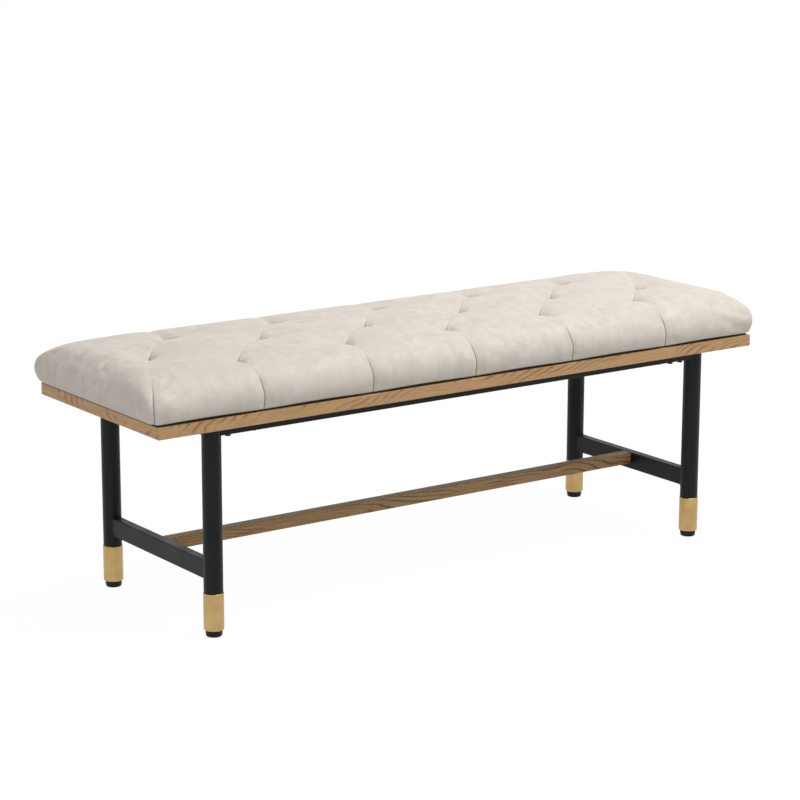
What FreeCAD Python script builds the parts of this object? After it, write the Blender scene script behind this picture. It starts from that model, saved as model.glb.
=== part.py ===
import FreeCAD, Part

import math
import os
import re

import Sketcher

# Upholstered bench: a diamond-tufted seat cushion on a mitred oak frame, a black steel
# underframe of two H-shaped ends joined by two bolted rails, an oak stretcher near the
# floor, and four tube legs with brass sleeves and screw-in levelling feet.
# Units are millimetres. X runs along the bench, Y from front to back, Z up. The origin
# is on the floor under the middle of the seat.

# name: (value, what it is)
DIMENSIONS = {
    "seat_length": (1400.0, "oak frame, end to end"),
    "seat_depth": (438.0, "oak frame, front to back"),
    "frame_top": (414.0, "floor to the top of the oak frame"),
    "oak_thickness": (22.5, "height of the oak frame boards"),
    "oak_width": (70.0, "width of the oak frame boards, seen from below"),
    "corner_ease": (2.0, "small flat that breaks each mitred corner"),
    "edge_ease": (0.8, "bevel along the long outer edges of the oak"),
    "leg_across": (572.5, "leg axis from the middle, along the bench"),
    "leg_deep": (186.0, "leg axis from the middle, front to back"),
    "leg_diameter": (36.0, "round leg tube"),
    "leg_wall": (1.5, "leg tube wall"),
    "leg_foot": (13.5, "floor to the lower end of the leg tube"),
    "rail_width": (30.0, "flat rails under the oak frame"),
    "rail_height": (15.0, "flat rails under the oak frame"),
    "rail_round": (2.2, "outer corner radius of the rectangular tubes"),
    "tube_wall": (1.5, "wall of all rectangular tubes"),
    "cross_width": (20.0, "low cross rail, along the bench"),
    "cross_height": (35.5, "low cross rail, upright"),
    "cross_top": (141.0, "floor to the top of the low cross rail"),
    "tongue_reach": (70.0, "leg axis to the tip of the tongue inside a rail"),
    "tongue_slack": (0.4, "tongue is this much smaller than the rail bore"),
    "tongue_lead": (1.5, "bevelled tip of the tongue"),
    "saddle_gap": (0.3, "end of a bolted rail to the leg"),
    "hole_room": (0.6, "a screw hole through a rail is this much wider than the shank"),
    "bolt_first": (35.0, "leg axis to the first rail bolt"),
    "bolt_second": (61.0, "leg axis to the second rail bolt"),
    "bolt_shank": (6.0, "rail bolt diameter"),
    "bolt_length": (12.5, "rail bolt, above its washer"),
    "bolt_lead": (1.0, "bevelled tip of a rail bolt"),
    "bolt_head": (10.0, "rail bolt head across flats"),
    "bolt_head_height": (4.0, "rail bolt head"),
    "washer_diameter": (15.0, "washer under a rail bolt"),
    "washer_height": (1.4, "washer under a rail bolt"),
    "seat_screw_place": (482.0, "outer seat screws from the middle"),
    "seat_screw_shank": (5.0, "seat screw diameter"),
    "seat_screw_length": (31.0, "seat screw, under the head"),
    "seat_screw_head": (11.0, "seat screw head diameter"),
    "seat_screw_dome": (3.4, "seat screw head height"),
    "board_screw_shank": (4.5, "screw from the oak frame up into the seat board"),
    "board_screw_length": (30.0, "screw from the oak frame into the seat board"),
    "board_screw_head": (9.0, "countersunk head of that screw"),
    "board_screw_inset": (60.5, "that screw from the outer face of the oak"),
    "board_screw_near": (150.0, "inner board screws of a long side from the middle"),
    "board_screw_far": (450.0, "outer board screws of a long side from the middle"),
    "board_screw_end": (80.0, "board screws of an end from the middle"),
    "stretcher_width": (24.0, "oak stretcher, front to back"),
    "stretcher_height": (23.0, "oak stretcher, upright"),
    "stretcher_top": (140.3, "floor to the top of the stretcher"),
    "tenon_width": (14.0, "steel tenon in the end of the stretcher"),
    "tenon_thickness": (4.0, "steel tenon in the end of the stretcher"),
    "tenon_length": (62.0, "steel tenon from the low cross rail"),
    "tenon_hole": (49.0, "screw hole from the low cross rail"),
    "tenon_room": (0.2, "the slot in the oak is this much wider than the tenon"),
    "slot_room": (0.5, "the slot in the oak runs this far past the tenon"),
    "cut_past": (1.0, "a cut that starts at a face begins this far outside it"),
    "stretcher_screw_shank": (5.0, "screw under the stretcher"),
    "stretcher_screw_head": (9.5, "screw under the stretcher"),
    "stretcher_screw_dome": (3.0, "screw under the stretcher"),
    "sleeve_diameter": (38.0, "brass sleeve, outside"),
    "sleeve_bore": (36.1, "brass sleeve, inside"),
    "sleeve_bottom": (12.5, "floor to the lower lip of the sleeve"),
    "sleeve_top": (82.8, "floor to the upper edge of the sleeve"),
    "sleeve_round": (2.2, "rounded lower edge of the sleeve"),
    "sleeve_ease": (0.5, "bevel on the upper edge of the sleeve"),
    "sleeve_mouth": (14.0, "hole in the lower lip of the sleeve"),
    "plug_diameter": (32.9, "plug in the lower end of the leg tube"),
    "plug_height": (22.0, "plug in the lower end of the leg tube"),
    "plug_bore": (9.0, "passage for the foot's stud"),
    "nut_flats": (13.0, "nut in the plug, across flats"),
    "nut_height": (6.5, "nut in the plug"),
    "nut_room": (0.1, "the pocket in the plug is this much wider than the nut"),
    "stud_diameter": (8.0, "thread of the levelling foot"),
    "stud_slack": (0.2, "the plain stud is this much thinner than its thread"),
    "stud_top": (46.5, "floor to the top of the stud"),
    "stud_lead": (1.0, "bevelled tip of the stud"),
    "ball_diameter": (9.2, "ball at the lower end of the stud"),
    "ball_centre": (7.4, "floor to the middle of the ball"),
    "pad_diameter": (32.0, "levelling foot at its top"),
    "pad_height": (12.0, "levelling foot"),
    "pad_draft": (1.2, "the foot is this much smaller in radius at its bottom"),
    "pad_round": (3.0, "rounded lower edge of the foot"),
    "pad_ease": (1.0, "bevel on the upper edge of the foot"),
    "socket_slack": (0.3, "room round the ball in the foot"),
    "socket_grip": (2.3, "middle of the ball to where the socket starts to close over it"),
    "socket_ease": (1.5, "bevel round the floor of the socket"),
    "dust_cover_thickness": (0.6, "black cloth between oak frame and cushion"),
    "cover_thickness": (1.6, "upholstery where it turns under the seat board"),
    "hem_width": (30.0, "upholstery turned under the seat board"),
    "board_thickness": (12.0, "plywood seat board"),
    "board_gap": (9.0, "seat board edge to the outer face of the oak"),
    "board_corner": (14.0, "corner radius of the seat board"),
    "padding": (3.0, "cover with its wadding, over the foam"),
    "cushion_inset": (3.0, "lower edge of the cushion from the face of the oak"),
    "cushion_height": (88.0, "oak frame to the crown of the cushion"),
    "belly_height": (34.0, "oak frame to the widest part of the cushion"),
    "belly_side": (9.5, "how far the long sides swell past their lower edge"),
    "belly_end": (16.0, "how far the ends swell past their lower edge"),
    "roll_radius": (52.0, "width of the roll from the widest part to the top"),
    "plan_corner": (26.0, "corner radius of the cushion seen from above"),
    "tuft_pitch": (237.5, "tufts along one row"),
    "tuft_row": (116.0, "outer rows of tufts from the middle row"),
    "tuft_depth": (15.0, "tufts below the crown"),
    "fold_depth": (4.5, "folds between tufts, below the crown"),
    "tuft_width": (8.0, "flat bottom of a tuft"),
    "tuft_reach": (18.0, "how far a tuft draws in the leather round it"),
    "seam_depth": (3.0, "sewn channel down the front and back"),
    "shoulder_drop": (6.0, "inner edge of the roll, below the crown"),
    "fold_stop": (6.0, "a fold stops this far from the roll"),
    "tie_diameter": (2.4, "cord that holds a tuft down"),
    "tie_end": (1.0, "top of the cord, below the foam in a tuft"),
    "toggle_diameter": (18.0, "disc that anchors the cord under the seat board"),
    "toggle_thickness": (1.2, "disc that anchors the cord under the seat board"),
}

TUFTS_IN_OUTER_ROW = 5
TUFTS_IN_MIDDLE_ROW = 6

# Names of the four legs: side of the middle along X, side of the middle along Y
CORNERS = {
    "front_left": (-1, -1),
    "front_right": (1, -1),
    "back_left": (-1, 1),
    "back_right": (1, 1),
}

FRAME_BOTTOM = "(frame_top - oak_thickness)"
HALF_LENGTH = "(seat_length / 2)"
HALF_DEPTH = "(seat_depth / 2)"
RAIL_MIDDLE = "(frame_top - oak_thickness - rail_height / 2)"
CROSS_MIDDLE = "(cross_top - cross_height / 2)"
STRETCHER_MIDDLE = "(stretcher_top - stretcher_height / 2)"
STRETCHER_LENGTH = "(2 * leg_across - cross_width)"
TENON_SCREW = f"({STRETCHER_LENGTH} / 2 - tenon_hole)"
BOARD_BOTTOM = "(frame_top + dust_cover_thickness + cover_thickness)"

# Places along one board or rail, from its middle
LONG_SCREWS = ["-board_screw_far", "-board_screw_near", "board_screw_near", "board_screw_far"]
SHORT_SCREWS = ["-board_screw_end", "board_screw_end"]
SEAT_SCREWS = ["-seat_screw_place", "0", "seat_screw_place"]
RAIL_BOLTS = [
    "-(leg_across - bolt_first)",
    "leg_across - bolt_first",
    "leg_across - bolt_second",
]

# A cut that removes less than this, in cubic millimetres, has missed its part
LEAST_CUT = 0.5

doc = FreeCAD.newDocument("Bench")
sheet = doc.addObject("Spreadsheet::Sheet", "Dimensions")
for row, (alias, (value, note)) in enumerate(DIMENSIONS.items(), start=1):
    sheet.set(f"A{row}", alias)
    sheet.set(f"B{row}", str(value))
    sheet.setAlias(f"B{row}", alias)
    sheet.set(f"C{row}", note)
doc.recompute()

SHEET_WORD = re.compile(r"\b(" + "|".join(DIMENSIONS) + r")\b")

parts = []


def bind(target, prop, expression):
    """Drive a property by an expression in the names of the sheet."""
    target.setExpression(prop, SHEET_WORD.sub(r"Dimensions.\1", expression))


def mm(alias):
    """The value of one cell of the sheet."""
    return float(getattr(sheet, alias))


def keep(item, label):
    """Give a sub-part its label and put it on the list that is written out."""
    item.Label = label
    parts.append(item)
    return item


def place(item, across="0", deep="0", up="0", turn=0.0):
    """Set a sub-part in the bench: a turn about Z, then a shift given by expressions."""
    item.Placement = FreeCAD.Placement(
        FreeCAD.Vector(), FreeCAD.Rotation(FreeCAD.Vector(0, 0, 1), turn)
    )
    bind(item, "Placement.Base.x", across)
    bind(item, "Placement.Base.y", deep)
    bind(item, "Placement.Base.z", up)


def new_body(name):
    return doc.addObject("PartDesign::Body", name)


def origin_feature(body, role):
    return next(f for f in body.Origin.OriginFeatures if f.Role == role)


def new_sketch(body, name, plane):
    sketch = body.newObject("Sketcher::SketchObject", name)
    sketch.AttachmentSupport = (origin_feature(body, plane), "")
    sketch.MapMode = "FlatFace"
    return sketch


def fix_point(sketch, geometry, point, across, up, rough, tag):
    """Hold one point of the sketch at a place given by two expressions."""
    for kind, expression, start in (
        ("DistanceX", across, rough.x),
        ("DistanceY", up, rough.y),
    ):
        held = Sketcher.Constraint(kind, -1, 1, geometry, point, start)
        index = sketch.addConstraint(held)
        name = f"{kind}_{tag}"
        sketch.renameConstraint(index, name)
        bind(sketch, f"Constraints.{name}", expression)


def add_outline(sketch, corners):
    """A closed run of straight lines through corners given as pairs of expressions."""
    first = sketch.GeometryCount
    count = len(corners)
    rough = [
        FreeCAD.Vector(math.cos(2 * math.pi * k / count), math.sin(2 * math.pi * k / count), 0)
        for k in range(count)
    ]
    for k in range(count):
        sketch.addGeometry(Part.LineSegment(rough[k], rough[(k + 1) % count]))
    for k in range(count):
        following = first + (k + 1) % count
        sketch.addConstraint(Sketcher.Constraint("Coincident", first + k, 2, following, 1))
    for k, (across, up) in enumerate(corners):
        fix_point(sketch, first + k, 1, across, up, rough[k], f"{first}_{k}")


def add_rectangle(sketch, width, height):
    """A rectangle about the sketch's origin."""
    half_width = f"({width}) / 2"
    half_height = f"({height}) / 2"
    add_outline(
        sketch,
        [
            (f"-{half_width}", f"-{half_height}"),
            (half_width, f"-{half_height}"),
            (half_width, half_height),
            (f"-{half_width}", half_height),
        ],
    )


def add_circle(sketch, diameter, across="0", up="0"):
    index = sketch.addGeometry(
        Part.Circle(FreeCAD.Vector(1, 1, 0), FreeCAD.Vector(0, 0, 1), 1.0)
    )
    fix_point(sketch, index, 3, across, up, FreeCAD.Vector(1, 1, 0), f"centre{index}")
    held = sketch.addConstraint(Sketcher.Constraint("Diameter", index, 2.0))
    sketch.renameConstraint(held, f"diameter{index}")
    bind(sketch, f"Constraints.diameter{index}", diameter)


def add_hexagon(sketch, flats):
    """A hexagon about the origin, with two corners on the X axis."""
    reach = f"({flats}) / 2 / cos(30 deg)"
    corners = [
        (f"{reach} * cos({60 * k} deg)", f"{reach} * sin({60 * k} deg)") for k in range(6)
    ]
    add_outline(sketch, corners)


def pad(body, sketch, name, length, symmetric=False):
    feature = body.newObject("PartDesign::Pad", name)
    feature.Profile = sketch
    feature.SideType = "Symmetric" if symmetric else "One side"
    bind(feature, "Length", length)
    doc.recompute()
    return feature


def pocket(body, sketch, name, length=None, reverse=False):
    """Cut a pocket, right through when no length is given, and check that it cuts."""
    before = body.Shape.Volume
    feature = body.newObject("PartDesign::Pocket", name)
    feature.Profile = sketch
    if length is None:
        feature.Type = "ThroughAll"
        feature.SideType = "Symmetric"
    else:
        bind(feature, "Length", length)
        feature.Reversed = reverse
    doc.recompute()
    if body.Shape.Volume > before - LEAST_CUT:
        raise RuntimeError(f"{name} of {body.Name} cuts nothing")
    return feature


def revolve(body, sketch, name):
    feature = body.newObject("PartDesign::Revolution", name)
    feature.Profile = sketch
    feature.ReferenceAxis = (sketch, ["V_Axis"])
    feature.Angle = 360.0
    doc.recompute()
    return feature


def dress(body, kind, name, wanted, size_name, size):
    """Fillet or chamfer the edges of the body's last feature that pass the test."""
    base = body.Tip
    names = [
        f"Edge{k}" for k, edge in enumerate(base.Shape.Edges, start=1) if wanted(edge)
    ]
    if not names:
        raise RuntimeError(f"{name} of {body.Name} finds no edge")
    feature = body.newObject(f"PartDesign::{kind}", name)
    feature.Base = (base, names)
    bind(feature, size_name, size)
    doc.recompute()
    return feature


def copies(name, label, master, places):
    """One sub-part of several separate solids, each a copy of the master."""
    solids = []
    for across, deep, up in places:
        solid = master.Shape.copy()
        solid.translate(FreeCAD.Vector(across, deep, up))
        solids.append(solid)
    item = doc.addObject("Part::Feature", name)
    item.Shape = Part.makeCompound(solids)
    return keep(item, label)


# Oak frame: four boards, mitred at the corners, drilled from below

def oak_board(label, run, reach, turn, seat_screws, board_screws):
    """One mitred board. It is drawn as the front board, whose outer face is at minus
    reach and whose mitres end at plus and minus run, and then turned into place."""
    body = new_body(label)
    plan = new_sketch(body, label + "_plan", "XY_Plane")
    add_outline(
        plan,
        [
            (f"-({run} - corner_ease)", f"-{reach}"),
            (f"{run} - corner_ease", f"-{reach}"),
            (f"{run} - corner_ease / 2", f"-({reach} - corner_ease / 2)"),
            (f"{run} - oak_width", f"-({reach} - oak_width)"),
            (f"-({run} - oak_width)", f"-({reach} - oak_width)"),
            (f"-({run} - corner_ease / 2)", f"-({reach} - corner_ease / 2)"),
        ],
    )
    board = pad(body, plan, label + "_wood", "oak_thickness")
    face = board.Shape.BoundBox.YMin

    def on_outer_face(edge):
        return edge.Length > 2 * mm("oak_width") and edge.BoundBox.YMax < face + 0.01

    dress(body, "Chamfer", label + "_edges", on_outer_face, "Size", "edge_ease")

    if seat_screws:
        pilots = new_sketch(body, label + "_pilots", "XY_Plane")
        for across in seat_screws:
            add_circle(pilots, "seat_screw_shank", across, "-leg_deep")
        pilot_depth = "seat_screw_length - rail_height"
        pocket(body, pilots, label + "_pilot_holes", pilot_depth, reverse=True)

    marks = new_sketch(body, label + "_marks", "XY_Plane")
    for across in board_screws:
        add_circle(marks, "board_screw_shank", across, f"-({reach} - board_screw_inset)")
    doc.recompute()
    before = body.Shape.Volume
    hole = body.newObject("PartDesign::Hole", label + "_screw_holes")
    hole.Profile = marks
    hole.DepthType = "ThroughAll"
    hole.HoleCutType = "Countersink"
    hole.HoleCutCustomValues = True
    hole.HoleCutCountersinkAngle = 90.0
    bind(hole, "Diameter", "board_screw_shank")
    bind(hole, "HoleCutDiameter", "board_screw_head")
    hole.Reversed = True
    doc.recompute()
    if body.Shape.Volume > before - LEAST_CUT:
        raise RuntimeError(label + " has no screw holes")
    place(body, up=FRAME_BOTTOM, turn=turn)
    return keep(body, label)


def make_oak_frame():
    oak_board("oak_front_board", HALF_LENGTH, HALF_DEPTH, 0, SEAT_SCREWS, LONG_SCREWS)
    oak_board("oak_right_board", HALF_DEPTH, HALF_LENGTH, 90, [], SHORT_SCREWS)
    oak_board("oak_back_board", HALF_LENGTH, HALF_DEPTH, 180, SEAT_SCREWS, LONG_SCREWS)
    oak_board("oak_left_board", HALF_DEPTH, HALF_LENGTH, 270, [], SHORT_SCREWS)


# Steel underframe

def square_tube(label, plane, width, height, length):
    """A rectangular tube with rounded corners, centred on the origin."""
    body = new_body(label)
    section = new_sketch(body, label + "_section", plane)
    add_rectangle(section, width, height)
    solid = pad(body, section, label + "_bar", length, symmetric=True)
    long_side = solid.Shape.BoundBox.DiagonalLength / 2

    def runs_along(edge):
        return edge.Length > long_side

    dress(body, "Fillet", label + "_corners", runs_along, "Radius", "rail_round")
    bore = new_sketch(body, label + "_bore", plane)
    add_rectangle(bore, f"{width} - 2 * tube_wall", f"{height} - 2 * tube_wall")
    pocket(body, bore, label + "_hollow")
    return body


def cut_saddles(body, centres, gap="0"):
    """Cope the ends of a bar to the round legs whose axes stand at the centres."""
    saddles = new_sketch(body, body.Name + "_saddles", "XY_Plane")
    for across, deep in centres:
        add_circle(saddles, f"leg_diameter + 2 * {gap}", across, deep)
    pocket(body, saddles, body.Name + "_cope")


def long_rail(label, turn):
    """Flat tube between two legs: bolted to a tongue at each end, screwed to the seat."""
    body = square_tube(label, "YZ_Plane", "rail_width", "rail_height", "2 * leg_across")
    cut_saddles(body, [("-leg_across", "0"), ("leg_across", "0")], "saddle_gap")
    bolts = new_sketch(body, label + "_bolt_marks", "XY_Plane")
    for across in RAIL_BOLTS:
        add_circle(bolts, "bolt_shank + hole_room", across)
    pocket(body, bolts, label + "_bolt_holes", "rail_height")
    screws = new_sketch(body, label + "_screw_marks", "XY_Plane")
    for across in SEAT_SCREWS:
        add_circle(screws, "seat_screw_shank + hole_room", across)
    pocket(body, screws, label + "_screw_holes")
    side = "-leg_deep" if turn == 0 else "leg_deep"
    place(body, deep=side, up=RAIL_MIDDLE, turn=turn)
    return keep(body, label)


def end_rail(label, side):
    """Flat tube welded between the tops of the two legs of one end. Its inner corners
    are notched, so that it stops at the sides of the long rails."""
    body = square_tube(label, "XZ_Plane", "rail_width", "rail_height", "2 * leg_deep")
    cut_saddles(body, [("0", "-leg_deep"), ("0", "leg_deep")])
    notches = new_sketch(body, label + "_notch_plan", "XY_Plane")
    inner = f"{-side} * (rail_width / 2 + cut_past)"
    stop = "(leg_deep - rail_width / 2 - saddle_gap)"
    for end in ("-", ""):
        add_outline(
            notches,
            [
                ("0", f"{end}{stop}"),
                (inner, f"{end}{stop}"),
                (inner, f"{end}leg_deep"),
                ("0", f"{end}leg_deep"),
            ],
        )
    pocket(body, notches, label + "_notches")
    place(body, across=f"{side} * leg_across", up=RAIL_MIDDLE)
    return keep(body, label)


def low_cross_rail(label, side):
    """Upright tube welded between the two legs of one end, near the floor."""
    body = square_tube(label, "XZ_Plane", "cross_width", "cross_height", "2 * leg_deep")
    cut_saddles(body, [("0", "-leg_deep"), ("0", "leg_deep")])
    place(body, across=f"{side} * leg_across", up=CROSS_MIDDLE)
    return keep(body, label)


def rail_tongue(label, side, front):
    """Solid bar welded to a leg, on which the end of a long rail slides."""
    body = new_body(label)
    plan = new_sketch(body, label + "_plan", "XY_Plane")
    half = "(rail_width / 2 - tube_wall - tongue_slack / 2)"
    add_outline(
        plan,
        [
            ("0", f"-{half}"),
            ("tongue_reach", f"-{half}"),
            ("tongue_reach", half),
            ("0", half),
        ],
    )
    thickness = "rail_height - 2 * tube_wall - tongue_slack"
    bar = pad(body, plan, label + "_bar", thickness, symmetric=True)
    tip = bar.Shape.BoundBox.XMax

    def at_tip(edge):
        return edge.BoundBox.XMin > tip - 0.01

    dress(body, "Chamfer", label + "_lead", at_tip, "Size", "tongue_lead")
    cut_saddles(body, [("0", "0")])
    threads = new_sketch(body, label + "_thread_marks", "XY_Plane")
    for across in ("bolt_first", "bolt_second"):
        add_circle(threads, "bolt_shank", across)
    pocket(body, threads, label + "_threads")
    place(
        body,
        across=f"{side} * leg_across",
        deep=f"{front} * leg_deep",
        up=RAIL_MIDDLE,
        turn=0 if side < 0 else 180,
    )
    return keep(body, label)


def make_leg(label, side, front):
    """Round tube from just above the levelling foot to the oak frame."""
    body = new_body(label)
    ring = new_sketch(body, label + "_ring", "XY_Plane")
    add_circle(ring, "leg_diameter")
    add_circle(ring, "leg_diameter - 2 * leg_wall")
    pad(body, ring, label + "_tube", f"{FRAME_BOTTOM} - leg_foot")
    place(body, f"{side} * leg_across", f"{front} * leg_deep", "leg_foot")
    return keep(body, label)


def make_sleeve(label, side, front):
    """Brass cup over the lower end of a leg, with a hole for the foot's stud."""
    body = new_body(label)
    profile = new_sketch(body, label + "_profile", "XZ_Plane")
    outer = "sleeve_diameter / 2"
    inner = "sleeve_bore / 2"
    lip = "leg_foot - sleeve_bottom"
    rise = "sleeve_top - sleeve_bottom"
    add_outline(
        profile,
        [
            ("sleeve_mouth / 2", "0"),
            (outer, "0"),
            (outer, f"{rise} - sleeve_ease"),
            (f"{outer} - sleeve_ease", rise),
            (inner, rise),
            (inner, lip),
            ("sleeve_mouth / 2", lip),
        ],
    )
    cup = revolve(body, profile, label + "_cup")
    radius = cup.Shape.BoundBox.XMax

    def at_bottom_rim(edge):
        low = edge.BoundBox.ZMax < 0.01
        return low and edge.BoundBox.XMax > radius - 0.01

    dress(body, "Fillet", label + "_rim", at_bottom_rim, "Radius", "sleeve_round")
    place(body, f"{side} * leg_across", f"{front} * leg_deep", "sleeve_bottom")
    return keep(body, label)


def make_plug(label, side, front):
    """Plastic plug in the lower end of a leg, with a pocket for the nut."""
    body = new_body(label)
    disc = new_sketch(body, label + "_disc", "XY_Plane")
    add_circle(disc, "plug_diameter")
    add_circle(disc, "plug_bore")
    pad(body, disc, label + "_block", "plug_height")
    seat = new_sketch(body, label + "_nut_seat", "XY_Plane")
    add_hexagon(seat, "nut_flats + nut_room")
    bind(seat, "AttachmentOffset.Base.z", "plug_height")
    pocket(body, seat, label + "_nut_pocket", "nut_height")
    place(body, f"{side} * leg_across", f"{front} * leg_deep", "leg_foot")
    return keep(body, label)


def make_nuts():
    """The four nuts in the plugs."""
    body = new_body("plug_nut_master")
    face = new_sketch(body, "plug_nut_face", "XY_Plane")
    add_hexagon(face, "nut_flats")
    pad(body, face, "plug_nut_block", "nut_height")
    bore = new_sketch(body, "plug_nut_bore", "XY_Plane")
    add_circle(bore, "stud_diameter")
    pocket(body, bore, "plug_nut_thread")
    up = mm("leg_foot") + mm("plug_height") - mm("nut_height")
    places = [
        (side * mm("leg_across"), front * mm("leg_deep"), up) for side, front in CORNERS.values()
    ]
    return copies("plug_nuts", "plug_nuts", body, places)


# Levelling feet: a pad that stays on the floor, and a stud that turns in the nut


def make_foot_pad(label, side, front):
    """Turned pad with a closed socket for the ball of the stud."""
    body = new_body(label)
    profile = new_sketch(body, label + "_profile", "XZ_Plane")
    socket = "(ball_diameter / 2 + socket_slack)"
    neck = "(stud_diameter / 2 + socket_slack)"
    socket_floor = f"(ball_centre - {socket})"
    add_outline(
        profile,
        [
            ("0", "0"),
            ("pad_diameter / 2 - pad_draft", "0"),
            ("pad_diameter / 2", "pad_height - pad_ease"),
            ("pad_diameter / 2 - pad_ease", "pad_height"),
            (neck, "pad_height"),
            (socket, "ball_centre + socket_grip"),
            (socket, f"{socket_floor} + socket_ease"),
            (f"{socket} - socket_ease", socket_floor),
            ("0", socket_floor),
        ],
    )
    cup = revolve(body, profile, label + "_turned")

    def at_bottom_rim(edge):
        return edge.BoundBox.ZMax < 0.01 and edge.Length > mm("pad_diameter")

    dress(body, "Fillet", label + "_rim", at_bottom_rim, "Radius", "pad_round")
    place(body, f"{side} * leg_across", f"{front} * leg_deep", "0")
    return keep(body, label)


def make_stud(label, side, front):
    """Threaded stud with a ball that swivels in the pad."""
    body = new_body(label)
    profile = new_sketch(body, label + "_profile", "XZ_Plane")
    radius = "((stud_diameter - stud_slack) / 2)"
    add_outline(
        profile,
        [
            ("0", "0"),
            (radius, "0"),
            (radius, "stud_top - ball_centre - stud_lead"),
            (f"{radius} - stud_lead", "stud_top - ball_centre"),
            ("0", "stud_top - ball_centre"),
        ],
    )
    revolve(body, profile, label + "_shank")
    ball = body.newObject("PartDesign::AdditiveSphere", label + "_ball")
    bind(ball, "Radius", "ball_diameter / 2")
    doc.recompute()
    place(body, f"{side} * leg_across", f"{front} * leg_deep", "ball_centre")
    return keep(body, label)


def make_underframe():
    long_rail("front_rail", 0)
    long_rail("back_rail", 180)
    for name, side in (("left", -1), ("right", 1)):
        end_rail(name + "_end_rail", side)
        low_cross_rail(name + "_cross_rail", side)
        stretcher_tenon(name + "_stretcher_tenon", side)
    for name, (side, front) in CORNERS.items():
        make_leg("leg_" + name, side, front)
        rail_tongue("rail_tongue_" + name, side, front)
        make_sleeve("brass_sleeve_" + name, side, front)
        make_plug("leg_plug_" + name, side, front)
        make_foot_pad("foot_pad_" + name, side, front)
        make_stud("foot_stud_" + name, side, front)
    make_nuts()


# Stretcher: an oak bar held at each end by a steel tenon and one screw from below

def stretcher_tenon(label, side):
    """Flat bar welded to a low cross rail, over which the stretcher slides."""
    body = new_body(label)
    plan = new_sketch(body, label + "_plan", "XY_Plane")
    add_outline(
        plan,
        [
            ("0", "-tenon_width / 2"),
            ("tenon_length", "-tenon_width / 2"),
            ("tenon_length", "tenon_width / 2"),
            ("0", "tenon_width / 2"),
        ],
    )
    pad(body, plan, label + "_flat", "tenon_thickness", symmetric=True)
    thread = new_sketch(body, label + "_thread_mark", "XY_Plane")
    add_circle(thread, "stretcher_screw_shank", "tenon_hole")
    pocket(body, thread, label + "_thread")
    start = f"{side} * {STRETCHER_LENGTH} / 2"
    place(body, across=start, up=STRETCHER_MIDDLE, turn=0 if side < 0 else 180)
    return keep(body, label)


def make_stretcher():
    """Oak bar between the low cross rails, slotted and drilled for its two tenons."""
    body = new_body("stretcher")
    section = new_sketch(body, "stretcher_section", "YZ_Plane")
    add_rectangle(section, "stretcher_width", "stretcher_height")
    bar = pad(body, section, "stretcher_bar", STRETCHER_LENGTH, symmetric=True)
    long_side = bar.Shape.BoundBox.XLength / 2

    def runs_along(edge):
        return edge.Length > long_side

    dress(body, "Chamfer", "stretcher_edges", runs_along, "Size", "edge_ease")
    slots = new_sketch(body, "stretcher_slot_plan", "XY_Plane")
    tip = f"({STRETCHER_LENGTH} / 2 - tenon_length - slot_room)"
    end = f"({STRETCHER_LENGTH} / 2 + cut_past)"
    half_width = "(tenon_width + tenon_room) / 2"
    for side in ("-", ""):
        add_outline(
            slots,
            [
                (f"{side}{tip}", f"-{half_width}"),
                (f"{side}{end}", f"-{half_width}"),
                (f"{side}{end}", half_width),
                (f"{side}{tip}", half_width),
            ],
        )
    slot = pocket(body, slots, "stretcher_slots", "tenon_thickness + tenon_room")
    slot.SideType = "Symmetric"
    marks = new_sketch(body, "stretcher_screw_marks", "XY_Plane")
    for side in ("-", ""):
        add_circle(marks, "stretcher_screw_shank", f"{side}{TENON_SCREW}")
    pocket(body, marks, "stretcher_screw_holes", "stretcher_height")
    place(body, up=STRETCHER_MIDDLE)
    return keep(body, "stretcher")


# Screws and bolts: each kind is one master, copied to its places

# Outline of a domed head, as shares of its diameter and of its height
CROWN_REACH = 0.3
SIDE_REACH = 0.45
SIDE_RISE = 0.55

def domed_screw(name, shank, length, head, dome):
    """A pan-head screw that points up, with its seat under the head at the origin."""
    body = new_body(name)
    profile = new_sketch(body, name + "_profile", "XZ_Plane")
    add_outline(
        profile,
        [
            ("0", f"-({dome})"),
            (f"({head}) * {CROWN_REACH}", f"-({dome})"),
            (f"({head}) * {SIDE_REACH}", f"-({dome}) * {SIDE_RISE}"),
            (f"({head}) / 2", "0"),
            (f"({shank}) / 2", "0"),
            (f"({shank}) / 2", f"({length}) - ({shank}) / 2"),
            ("0", length),
        ],
    )
    revolve(body, profile, name + "_turned")
    return body


def flush_screw():
    """A countersunk screw that points up, with the flat of its head at the origin."""
    body = new_body("board_screw_master")
    profile = new_sketch(body, "board_screw_profile", "XZ_Plane")
    cone = "((board_screw_head - board_screw_shank) / 2)"
    add_outline(
        profile,
        [
            ("0", "0"),
            ("board_screw_head / 2", "0"),
            ("board_screw_shank / 2", cone),
            ("board_screw_shank / 2", "board_screw_length - board_screw_shank / 2"),
            ("0", "board_screw_length"),
        ],
    )
    revolve(body, profile, "board_screw_turned")
    return body


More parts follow.
